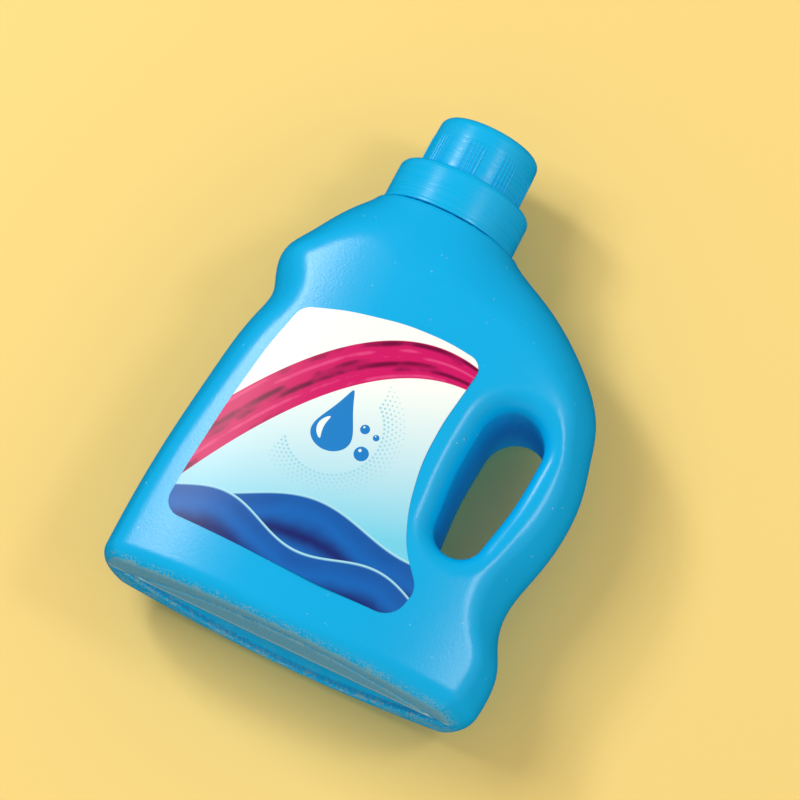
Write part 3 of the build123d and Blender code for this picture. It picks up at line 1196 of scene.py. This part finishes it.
@dataclass(frozen=True)
class BlownPolyethylene:
    """HDPE, blow-moulded and a little gritty: a satin skin with a fine peel, and scuffs at the foot."""

    colour: str = "00B2F4"
    deep: str = "00ABED"
    scuff: str = "7FB4C6"
    seam: str = "B4DCE8"
    roughness: float = 0.27
    gloss: float = 0.45
    seam_y: float = -1.6
    seam_wander: float = 0.9
    ground: float = 0.2
    grit_height: float = 2.2
    peel_strength: float = 0.12
    peel_depth: float = 0.3

    def make(self) -> bpy.types.Material:
        """Builds the material."""
        material, tree, shader = new_material("blow_moulded_hdpe")
        place = add_node(tree, "ShaderNodeTexCoord").outputs["Object"]
        shader.inputs["Roughness"].default_value = self.roughness
        shader.inputs["IOR"].default_value = 1.5
        shader.inputs["Specular IOR Level"].default_value = self.gloss
        tone = paint(tree, flat_colour(tree, self.colour), self.deep, noise(tree, place, 0.04 / MM, 2.0))
        worn = self.scuffed(tree, place, tone)
        specks = fade(tree, noise(tree, place, 0.62 / MM, 1.0), 0.77, 0.8, 0.0, 0.4)
        tree.links.new(paint(tree, worn, self.seam, specks), shader.inputs["Base Color"])
        roughen(tree, shader, noise(tree, place, 1.4 / MM, 3.0), self.peel_strength, self.peel_depth)
        return material

    def scuffed(self, tree: bpy.types.NodeTree, place: bpy.types.NodeSocket,
                colour: bpy.types.NodeSocket) -> bpy.types.NodeSocket:
        """Wears the foot: grit along its rims, a rubbed front half, and a pale pinch-off seam.

        Args:
            tree: The material's tree.
            place: Places in metres.
            colour: The plastic's colour.

        Returns:
            The colour with the wear on it.
        """
        split = add_node(tree, "ShaderNodeSeparateXYZ", {}, {0: place})
        y, z = split.outputs[1], split.outputs[2]
        fine = noise(tree, place, 1.3 / MM, 4.0)
        patches = noise(tree, place, 0.19 / MM, 4.0)
        near_ground = fade(tree, z, self.ground * MM, self.grit_height * MM, 1.0, 0.0)
        on_ground = fade(tree, z, self.ground * MM, 3 * self.ground * MM, 1.0, 0.0)
        grit = fade(tree, math_chain(tree, patches, ("MULTIPLY", 0.5), ("ADD", fine)), 0.76, 0.86)
        rim = paint(tree, colour, self.scuff, math_chain(tree, near_ground, ("MULTIPLY", grit)))
        front = fade(tree, y, -1.0 * MM, 0.0, 1.0, 0.0)
        rub = math_chain(tree, on_ground, ("MULTIPLY", front),
                         ("MULTIPLY", fade(tree, fine, 0.36, 0.62, 0.35, 0.95)))
        rubbed = paint(tree, rim, self.scuff, rub)
        wander = self.seam_wander
        off = math_chain(tree, patches, ("MULTIPLY", wander * MM), ("ADD", y),
                         ("SUBTRACT", (self.seam_y + wander / 2) * MM), ("ABSOLUTE", None))
        flat = fade(tree, z, self.ground * MM, 2.5 * self.ground * MM, 1.0, 0.0)
        line = math_chain(tree, fade(tree, off, 0.22 * MM, 0.42 * MM, 1.0, 0.0), ("MULTIPLY", flat))
        return paint(tree, rubbed, self.seam, line)


@dataclass(frozen=True)
class MouldedPolypropylene:
    """Polypropylene, injection-moulded in a turned mould: a glossier skin with fine level streaks."""

    colour: str = "00B2F2"
    roughness: float = 0.27
    gloss: float = 0.4

    def make(self) -> bpy.types.Material:
        """Builds the material."""
        material, tree, shader = new_material("injection_moulded_polypropylene")
        place = add_node(tree, "ShaderNodeTexCoord").outputs["Object"]
        shader.inputs["Base Color"].default_value = linear(self.colour)
        shader.inputs["IOR"].default_value = 1.49
        shader.inputs["Specular IOR Level"].default_value = self.gloss
        level = add_node(tree, "ShaderNodeMapping", {"Scale": (0.06 / MM, 0.06 / MM, 1.1 / MM)},
                         {"Vector": place})
        streak = noise(tree, level.outputs[0], 1.0, 3.0)
        gloss = add_node(tree, "ShaderNodeMapRange",
                         {1: 0.3, 2: 0.7, 3: self.roughness - 0.05, 4: self.roughness + 0.1},
                         {0: streak})
        tree.links.new(gloss.outputs[0], shader.inputs["Roughness"])
        roughen(tree, shader, streak, 0.12, 0.3)
        return material


@dataclass(frozen=True)
class PlainFilm:
    """Self-adhesive polypropylene film with one field of ink under a clear varnish."""

    name: str = "plain_label_film"
    colour: str = "E6F6FC"
    roughness: float = 0.3

    def make(self) -> bpy.types.Material:
        """Builds the material."""
        material, tree, shader = new_material(self.name)
        shader.inputs["Base Color"].default_value = linear(self.colour)
        shader.inputs["Roughness"].default_value = self.roughness
        shader.inputs["Specular IOR Level"].default_value = 0.25
        return material


@dataclass(frozen=True)
class PrintedFilm:
    """White polypropylene film, gravure-printed with soft fields of ink under a clear varnish.

    The design is plain: a pale ground, one folded ribbon and two waves. Sizes are in millimetres.
    """

    ground_top: str = "F2FAFC"
    ground_low: str = "74D3F5"
    ribbon: str = "CD1469"
    ribbon_fold: str = "74043F"
    ribbon_edge: str = "EE5C9C"
    wave: str = "1464BE"
    wave_fold: str = "1A2470"
    foam_line: str = "A8E4FA"
    roughness: float = 0.32
    centre: tuple[float, float] = (-13.0, 57.0)
    edge: float = 0.12
    # each wave's height, swing, length, phase and slope
    wave_shapes: tuple[tuple[float, ...], ...] = (
        (-22.0, 4.2, 11.5, 1.2, 0.10),
        (-30.5, 3.4, 8.5, 4.0, -0.06),
    )

    def make(self) -> bpy.types.Material:
        """Builds the material."""
        material, tree, shader = new_material("printed_polypropylene_film")
        place = add_node(tree, "ShaderNodeTexCoord").outputs["Object"]
        x, z = self.centre
        flat = add_node(tree, "ShaderNodeMapping", {"Location": (-x, 0, -z), "Scale": [1 / MM] * 3},
                        {"Vector": place})
        split = add_node(tree, "ShaderNodeSeparateXYZ", {}, {0: flat.outputs[0]})
        u, v = split.outputs[0], split.outputs[2]
        loose = noise(tree, flat.outputs[0], 0.09, 3.0)
        tilt = math_chain(tree, u, ("MULTIPLY", 0.35), ("SUBTRACT", v))
        ground = flat_colour(tree, self.ground_top)
        colour = paint(tree, ground, self.ground_low, fade(tree, tilt, -22.0, 30.0))
        colour = self.waves(tree, u, v, loose, colour)
        colour = self.folded_ribbon(tree, u, v, loose, colour)
        tree.links.new(colour, shader.inputs["Base Color"])
        shader.inputs["Roughness"].default_value = self.roughness
        shader.inputs["IOR"].default_value = 1.49
        shader.inputs["Specular IOR Level"].default_value = 0.25
        return material

    def waves(self, tree: bpy.types.NodeTree, u: bpy.types.NodeSocket, v: bpy.types.NodeSocket,
              loose: bpy.types.NodeSocket, colour: bpy.types.NodeSocket) -> bpy.types.NodeSocket:
        """Two waves of blue along the foot of the label, with pale crests.

        Args:
            tree: The material's tree.
            u: Place across the label.
            v: Place up the label.
            loose: A slow noise.
            colour: The ground's colour.

        Returns:
            The colour with the waves over it.
        """
        for base, swing, length, phase, slope in self.wave_shapes:
            crest = math_chain(tree, u, ("DIVIDE", length), ("ADD", phase), ("SINE", None),
                               ("MULTIPLY", swing))
            crest = math_chain(tree, u, ("MULTIPLY", slope), ("ADD", crest), ("ADD", base))
            below = math_chain(tree, crest, ("SUBTRACT", v))
            wander = math_chain(tree, loose, ("MULTIPLY", 2.6))
            stripes = math_chain(tree, below, ("MULTIPLY", 0.55), ("ADD", wander), ("SINE", None))
            shade = fade(tree, stripes, -1.0, 1.0)
            deep = fade(tree, below, 0.0, 13.0, 0.15, 1.0)
            folds = math_chain(tree, shade, ("MULTIPLY", deep))
            dark = paint(tree, flat_colour(tree, self.wave), self.wave_fold, folds)
            crested = paint(tree, dark, self.foam_line, fade(tree, below, 0.9, 0.3))
            colour = paint(tree, colour, crested, fade(tree, below, -self.edge, self.edge))
        return colour

    def folded_ribbon(self, tree: bpy.types.NodeTree, u: bpy.types.NodeSocket, v: bpy.types.NodeSocket,
                      loose: bpy.types.NodeSocket, colour: bpy.types.NodeSocket) -> bpy.types.NodeSocket:
        """A wide ribbon that arches from the top right to the left edge, with folds along it.

        Args:
            tree: The material's tree.
            u: Place across the label.
            v: Place up the label.
            loose: A slow noise.
            colour: The colour under the ribbon.

        Returns:
            The colour with the ribbon over it.
        """
        far = math_chain(tree, u, ("MULTIPLY", -1.0), ("ADD", 27.0))
        middle = math_chain(tree, far, ("POWER", 2.0), ("MULTIPLY", -0.0128), ("ADD", 37.0))
        half = math_chain(tree, far, ("MULTIPLY", 0.13), ("ADD", 4.2))
        across = math_chain(tree, v, ("SUBTRACT", middle), ("DIVIDE", half))
        wander = math_chain(tree, loose, ("MULTIPLY", 5.0), ("ADD", math_chain(tree, u, ("MULTIPLY", 0.05))))
        folds = math_chain(tree, across, ("MULTIPLY", 5.5), ("ADD", wander), ("SINE", None))
        fine = math_chain(tree, across, ("MULTIPLY", 13.0), ("SUBTRACT", wander), ("SINE", None),
                          ("MULTIPLY", 0.35), ("ADD", folds))
        dark = paint(tree, flat_colour(tree, self.ribbon), self.ribbon_fold, fade(tree, fine, 0.2, 1.25))
        lit = paint(tree, dark, self.ribbon_edge, fade(tree, fine, -0.85, -1.5, 0.0, 0.7))
        size = math_chain(tree, across, ("ABSOLUTE", None), ("MULTIPLY", half))
        return paint(tree, colour, lit, fade(tree, math_chain(tree, half, ("SUBTRACT", size)),
                                             -self.edge, self.edge))


@dataclass(frozen=True)
class Foam:
    """White expanded polyethylene: closed cells show as a soft, matt grain."""

    colour: str = "ECF0F2"

    def make(self) -> bpy.types.Material:
        """Builds the material."""
        material, tree, shader = new_material("expanded_polyethylene_foam")
        place = add_node(tree, "ShaderNodeTexCoord").outputs["Object"]
        cells = add_node(tree, "ShaderNodeTexVoronoi", {"Scale": 2500.0}, {"Vector": place})
        roughen(tree, shader, cells.outputs[0], 0.4, 0.2)
        shader.inputs["Base Color"].default_value = linear(self.colour)
        shader.inputs["Roughness"].default_value = 0.8
        return material


# ---------------------------------------------------------------- stage


@dataclass(frozen=True)
class Lamp:
    """A square lamp that faces the bottle.

    Its place is how far right, up and towards the camera it hangs from the camera's aim, in metres.
    """

    name: str
    place: tuple[float, float, float]
    size: float
    power: float
    colour: str
    shines: bool = False


LAMPS = (
    Lamp("key_lamp", (-0.62, 0.62, 0.85), 0.5, 6.0, "FFFBF4"),
    Lamp("left_window", (-0.64, 0.87, 0.57), 0.2, 3.4, "FFFDF8", True),
    Lamp("fill_lamp", (1.1, -0.1, 0.7), 1.2, 4.0, "FFF8EC"),
    Lamp("bounce_lamp", (-0.2, -1.1, 0.35), 1.0, 4.5, "FFF8EC"),
    Lamp("right_window", (0.70, 0.24, 0.95), 0.2, 1.8, "FFFDF8", True),
)


@dataclass
class Stage:
    """The pale surfaces, the lamps and the camera. Angles in degrees, lengths in metres."""

    azimuth: float = 9.5
    elevation: float = -15.0
    roll: float = 27.65
    distance: float = 3.0
    frame_width: float = 0.24184
    aim: tuple[float, float, float] = (0.0, 0.0, 0.085)
    shift_right: float = -0.0030
    shift_down: float = -0.0018
    surface: str = "F1D688"
    room_colour: str = "FFF4E0"
    room_light: float = 0.47
    plane_reach: float = 4.0

    def axes(self) -> tuple[Vector, Vector, Vector]:
        """The picture's right, its up and the way the camera looks."""
        a, e, r = (math.radians(v) for v in (self.azimuth, self.elevation, self.roll))
        look = Vector((-math.sin(a) * math.cos(e), math.cos(a) * math.cos(e), -math.sin(e)))
        side = Vector((math.cos(a), math.sin(a), 0))
        up = side.cross(look)
        right = side * math.cos(r) + up * math.sin(r)
        return right, up * math.cos(r) - side * math.sin(r), look

    def camera(self) -> None:
        """Places a long lens that sees the bottle leaning to the right."""
        right, up, look = self.axes()
        target = Vector(self.aim) + right * self.shift_right - up * self.shift_down
        data = bpy.data.cameras.new("camera")
        data.sensor_width = 36
        data.lens = 36 * self.distance / self.frame_width
        data.clip_end = 20
        made = bpy.data.objects.new("camera", data)
        bpy.context.scene.collection.objects.link(made)
        turn = Matrix((right, up, -look)).transposed()
        made.matrix_world = Matrix.Translation(target - look * self.distance) @ turn.to_4x4()
        bpy.context.scene.camera = made

    def light(self, lamp: Lamp) -> None:
        """Hangs one lamp.

        Args:
            lamp: Its place, size and light.
        """
        right, up, look = self.axes()
        data = bpy.data.lights.new(lamp.name, "AREA")
        data.shape = "SQUARE"
        data.size = lamp.size
        data.energy = lamp.power
        data.color = linear(lamp.colour)[:3]
        made = bpy.data.objects.new(lamp.name, data)
        bpy.context.scene.collection.objects.link(made)
        place = right * lamp.place[0] + up * lamp.place[1] - look * lamp.place[2]
        made.location = Vector(self.aim) + place
        made.visible_glossy = lamp.shines
        made.rotation_euler = (-place).to_track_quat("-Z", "Y").to_euler()

    def room(self) -> None:
        """Even light from all round, with the surface's colour behind everything."""
        world = bpy.data.worlds.new("world")
        bpy.context.scene.world = world
        world.use_nodes = True
        world.cycles_visibility.glossy = False
        tree = world.node_tree
        even = tree.nodes["Background"]
        even.inputs["Color"].default_value = linear(self.room_colour)
        even.inputs["Strength"].default_value = self.room_light
        seen = add_node(tree, "ShaderNodeBackground", {"Color": linear(self.surface), "Strength": 1.0})
        path = add_node(tree, "ShaderNodeLightPath")
        mix = add_node(tree, "ShaderNodeMixShader", {}, {0: path.outputs["Is Camera Ray"], 1: even.outputs[0],
                                                        2: seen.outputs[0]})
        tree.links.new(mix.outputs[0], tree.nodes["World Output"].inputs[0])

    def plane(self, name: str, corners: list[tuple[float, float, float]]) -> None:
        """A plain surface that is seen from its front only and throws no light or shadow.

        Args:
            name: Its name.
            corners: Its four corners, in metres.
        """
        mesh = bpy.data.meshes.new(name)
        mesh.from_pydata(corners, [], [(0, 1, 2, 3)])
        made = bpy.data.objects.new(name, mesh)
        bpy.context.scene.collection.objects.link(made)
        material, tree, shader = new_material(name + "_paper")
        shader.inputs["Base Color"].default_value = linear(self.surface)
        shader.inputs["Roughness"].default_value = 0.9
        shader.inputs["Specular IOR Level"].default_value = 0.1
        path = add_node(tree, "ShaderNodeLightPath")
        back = add_node(tree, "ShaderNodeNewGeometry")
        front = math_chain(tree, back.outputs["Backfacing"], ("MULTIPLY", -1.0), ("ADD", 1.0))
        seen = math_chain(tree, front, ("MULTIPLY", path.outputs["Is Camera Ray"]))
        clear = add_node(tree, "ShaderNodeBsdfTransparent")
        mix = add_node(tree, "ShaderNodeMixShader", {}, {0: seen, 1: clear.outputs[0], 2: shader.outputs[0]})
        tree.links.new(mix.outputs[0], tree.nodes["Material Output"].inputs[0])
        mesh.materials.append(material)
        made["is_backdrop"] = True

    def build(self, back: float) -> None:
        """Sets the stage.

        Args:
            back: How far behind the origin the backdrop stands.
        """
        self.camera()
        for lamp in LAMPS:
            self.light(lamp)
        self.room()
        r = self.plane_reach
        self.plane("floor", [(-r, -r, 0), (r, -r, 0), (r, r, 0), (-r, r, 0)])
        self.plane("backdrop", [(-r, back, -r), (r, back, -r), (r, back, r), (-r, back, r)])


def main() -> None:
    """Builds the bottle in order and sets its stage."""
    logging.basicConfig(level=logging.INFO, format="%(name)s: %(message)s")
    bpy.context.scene.view_settings.view_transform = "Standard"
    collar_low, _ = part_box("pour_collar")
    cap_low, cap_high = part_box("screw_cap")
    seal_low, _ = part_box("seal_ring")
    neck_x = (cap_low.x + cap_high.x) / 2 / MM
    body = BlownBody(neck_x=neck_x, shoulder=collar_low.z / MM - COLLAR_GAP)
    body.build(BlownPolyethylene().make())
    inks = {
        "drop": PlainFilm("drop_ink", "1E7FD0").make(),
        "glint": PlainFilm("glint_ink", "E8F8FE").make(),
        "dots": PlainFilm("dot_ink", "9CD8F0").make(),
    }
    Labels(body).build(PrintedFilm().make(), PlainFilm().make(), inks)
    closure = Closure(
        neck_x=neck_x, collar_base=collar_low.z / MM, deck=cap_low.z / MM + CAP_GAP,
        seat=cap_low.z / MM - CAP_GAP, ring_top=seal_low.z / MM - SEAL_GAP,
        cap_base=cap_low.z / MM, cap_top=cap_high.z / MM,
        seal_base=seal_low.z / MM)
    closure.build(MouldedPolypropylene().make(), Foam().make())
    Stage().build(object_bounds()[1][1])


if __name__ == "__main__":
    main()
